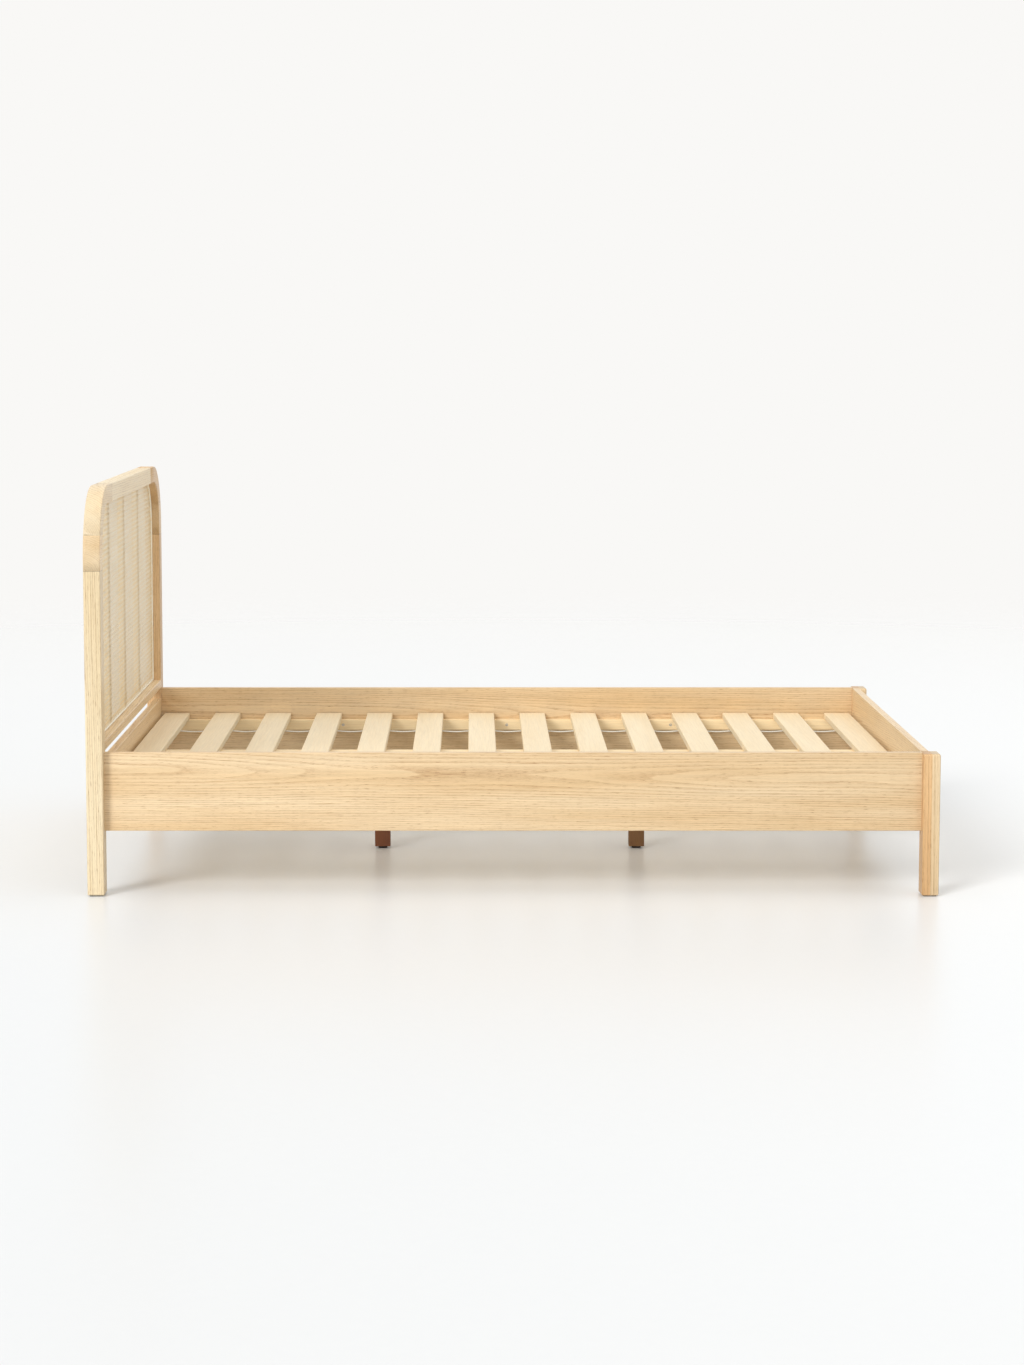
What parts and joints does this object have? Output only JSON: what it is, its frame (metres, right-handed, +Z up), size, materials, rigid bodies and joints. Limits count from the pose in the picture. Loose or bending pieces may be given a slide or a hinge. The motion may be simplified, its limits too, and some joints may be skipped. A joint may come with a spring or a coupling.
{
  "type": "bed frame",
  "caption": "Oak bed frame: rounded headboard filled with open cane webbing, plank side and foot rails on square legs, slatted base on a centre beam with levelling legs.",
  "frame": {"origin": "centre of the bounding box, on the floor", "axes": "+X from headboard to foot, +Y from the left side to the right side as seen from the foot, +Z up"},
  "size_m": [2.12, 1.48, 1.016],
  "materials": {
    "oak": "clear matt oil on solid and veneered oak",
    "cane": "natural rattan cane, satin",
    "softwood": "planed, unfinished",
    "slat_wood": "planed, unfinished",
    "dark_wood": "brown stained hardwood, satin",
    "beech": "fluted, unfinished",
    "steel": "zinc plated",
    "black_plastic": "moulded, fine texture",
    "felt": "pressed wool felt",
    "webbing": "woven cotton tape"
  },
  "bodies": {
    "frame": {"headboard_post_left": "oak", "headboard_post_right": "oak", "headboard_corner_lower_left": "oak", "headboard_corner_lower_right": "oak", "headboard_corner_upper_left": "oak", "headboard_corner_upper_right": "oak", "headboard_top_rail": "oak", "headboard_cane_rail": "oak", "headboard_lower_rail": "oak", "headboard_batten_1": "oak", "headboard_batten_2": "oak", "headboard_batten_3": "oak", "cane_panel_1": "cane", "cane_panel_2": "cane", "cane_panel_3": "cane", "cane_panel_4": "cane", "cane_spline": "cane", "side_rail_left": "oak", "side_rail_right": "oak", "side_ledger_left": "softwood", "side_ledger_right": "softwood", "foot_leg_left": "oak", "foot_leg_right": "oak", "foot_rail": "oak", "centre_beam": "softwood", "centre_leg_head": "dark_wood", "centre_leg_foot": "dark_wood", "beam_bracket_head": "steel", "beam_bracket_foot": "steel", "glide_inserts": "steel", "rail_hook_plates": "steel", "leg_slot_plates": "steel", "wood_screws": "steel", "bracket_screws": "steel", "dowels": "beech", "centre_leg_bolts": "steel", "felt_pad_head_left": "felt", "felt_pad_head_right": "felt", "felt_pad_foot_left": "felt", "felt_pad_foot_right": "felt"},
    "slatted_base": {"slat_01": "slat_wood", "slat_02": "slat_wood", "slat_03": "slat_wood", "slat_04": "slat_wood", "slat_05": "slat_wood", "slat_06": "slat_wood", "slat_07": "slat_wood", "slat_08": "slat_wood", "slat_09": "slat_wood", "slat_10": "slat_wood", "slat_11": "slat_wood", "slat_12": "slat_wood", "slat_13": "slat_wood", "slat_14": "slat_wood", "slat_strap_left": "webbing", "slat_strap_right": "webbing"},
    "head_glide_foot": {"glide_pad_head": "black_plastic"},
    "head_glide_stem": {"glide_stem_head": "steel"},
    "foot_glide_foot": {"glide_pad_foot": "black_plastic"},
    "foot_glide_stem": {"glide_stem_foot": "steel"}
  },
  "joints": [
    {"name": "base_lift", "type": "slide", "parent": "frame", "child": "slatted_base", "axis": [0, 0, 1], "range_m": [0, 0.2]},
    {"name": "head_glide_height", "type": "slide", "parent": "frame", "child": "head_glide_foot", "axis": [0, 0, -1], "range_m": [-0.0015, 0.008]},
    {"name": "head_glide_turn", "type": "hinge", "parent": "head_glide_foot", "child": "head_glide_stem", "pos_m": [-0.346, 0, 0.02], "axis": [0, 0, -1], "range_deg": [-433, 2305]},
    {"name": "foot_glide_height", "type": "slide", "parent": "frame", "child": "foot_glide_foot", "axis": [0, 0, -1], "range_m": [-0.0015, 0.008]},
    {"name": "foot_glide_turn", "type": "hinge", "parent": "foot_glide_foot", "child": "foot_glide_stem", "pos_m": [0.346, 0, 0.02], "axis": [0, 0, -1], "range_deg": [-433, 2305]}
  ],
  "couplings": [
    {"joint": "head_glide_turn", "follows": "head_glide_height", "rad_per_m": 5026.5},
    {"joint": "foot_glide_turn", "follows": "foot_glide_height", "rad_per_m": 5026.5}
  ]
}
